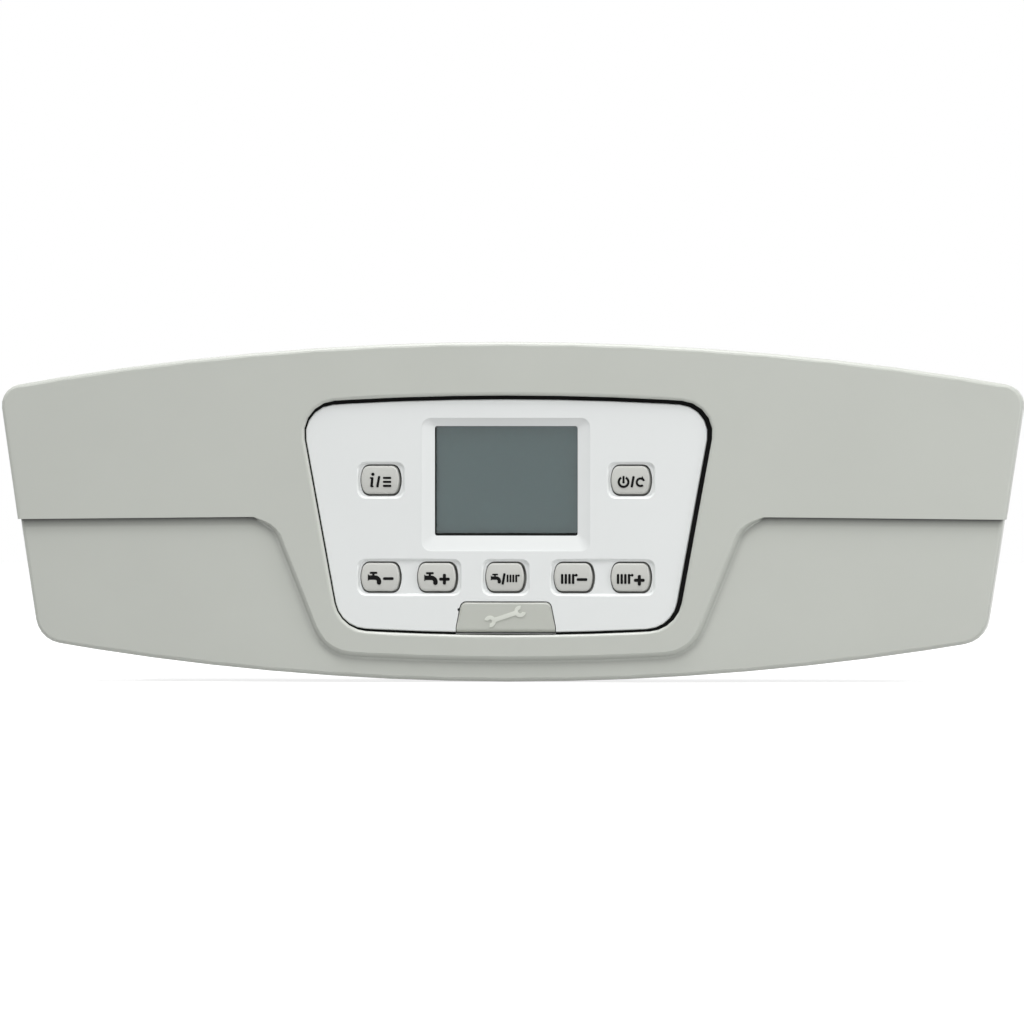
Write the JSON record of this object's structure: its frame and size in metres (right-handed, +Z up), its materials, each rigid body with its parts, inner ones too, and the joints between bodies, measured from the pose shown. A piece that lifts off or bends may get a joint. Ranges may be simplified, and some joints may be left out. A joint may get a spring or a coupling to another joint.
{
  "type": "condensing boiler control panel",
  "caption": "Bowed control panel of a wall-hung condensing boiler: keys, display and a service flap in front, a housing with the control board behind.",
  "frame": {"origin": "middle between the two catch holes, on the back face of their lugs", "axes": "+X to the viewer's right along the panel's width, +Y away from the viewer into the boiler, +Z up"},
  "size_m": [0.4392, 0.0875, 0.1453],
  "materials": {
    "fascia": "satin",
    "insert_seal": "matt foam",
    "insert": "satin",
    "display_window": "clear",
    "display_cell": "smooth",
    "display_carrier": "matt",
    "backlight": "smooth",
    "keypad_mat": "matt",
    "keys": "satin",
    "boards": "solder mask",
    "components": "moulded",
    "screws": "zinc plated",
    "service_flap": "satin",
    "connectors": "moulded",
    "contacts": "bright",
    "ribbon": "satin",
    "housing": "fine texture",
    "pins": "turned",
    "transformer": "varnished",
    "relays": "smooth",
    "capacitors": "sleeved",
    "fuse": "clear",
    "heatsink": "extruded",
    "terminals": "moulded",
    "grommets": "matt",
    "wiring_cover": "fine texture"
  },
  "bodies": {
    "panel": {"fascia": "fascia", "insert_seal": "insert_seal", "insert": "insert", "display_window": "display_window", "display_cell": "display_cell", "display_carrier": "display_carrier", "backlight": "backlight", "keypad_mat": "keypad_mat", "display_board": "boards", "display_parts": "components", "display_screws": "screws", "insert_screws": "screws", "service_socket": "components", "socket_contacts": "contacts", "ribbon_cable": "ribbon", "ribbon_connectors": "components", "housing": "housing", "catch_lugs": "housing", "pivot_pins": "pins", "main_board": "boards", "board_screws": "screws", "transformer": "transformer", "relays": "relays", "capacitors": "capacitors", "fuse_holder": "components", "fuse": "fuse", "heatsink": "heatsink", "control_chips": "components", "terminal_blocks": "terminals", "terminal_screws": "screws", "signal_connectors": "connectors", "cable_grommets": "grommets", "cable_clamps": "connectors", "clamp_screws": "screws", "fascia_screws": "screws", "hinge_pins": "pins"},
    "key_info": {"key_info": "keys"},
    "key_power": {"key_power": "keys"},
    "key_water_down": {"key_water_down": "keys"},
    "key_water_up": {"key_water_up": "keys"},
    "key_mode": {"key_mode": "keys"},
    "key_heat_down": {"key_heat_down": "keys"},
    "key_heat_up": {"key_heat_up": "keys"},
    "service_flap": {"service_flap": "service_flap"},
    "wiring_cover": {"wiring_cover": "wiring_cover"}
  },
  "joints": [
    {"name": "key_info_press", "type": "slide", "parent": "panel", "child": "key_info", "axis": [0, 1, 0], "range_m": [0, 0.0006], "stiffness_N_per_m": 400},
    {"name": "key_power_press", "type": "slide", "parent": "panel", "child": "key_power", "axis": [0, 1, 0], "range_m": [0, 0.0006], "stiffness_N_per_m": 400},
    {"name": "key_water_down_press", "type": "slide", "parent": "panel", "child": "key_water_down", "axis": [0, 1, 0], "range_m": [0, 0.0006], "stiffness_N_per_m": 400},
    {"name": "key_water_up_press", "type": "slide", "parent": "panel", "child": "key_water_up", "axis": [0, 1, 0], "range_m": [0, 0.0006], "stiffness_N_per_m": 400},
    {"name": "key_mode_press", "type": "slide", "parent": "panel", "child": "key_mode", "axis": [0, 1, 0], "range_m": [0, 0.0006], "stiffness_N_per_m": 400},
    {"name": "key_heat_down_press", "type": "slide", "parent": "panel", "child": "key_heat_down", "axis": [0, 1, 0], "range_m": [0, 0.0006], "stiffness_N_per_m": 400},
    {"name": "key_heat_up_press", "type": "slide", "parent": "panel", "child": "key_heat_up", "axis": [0, 1, 0], "range_m": [0, 0.0006], "stiffness_N_per_m": 400},
    {"name": "service_flap_hinge", "type": "hinge", "parent": "panel", "child": "service_flap", "pos_m": [-0.0008, -0.07353, -0.1039], "axis": [1, 0, 0], "range_deg": [0, 90]},
    {"name": "wiring_cover_hinge", "type": "hinge", "parent": "panel", "child": "wiring_cover", "pos_m": [0, 0.0033, -0.06055], "axis": [1, 0, 0], "range_deg": [0, 100]}
  ]
}
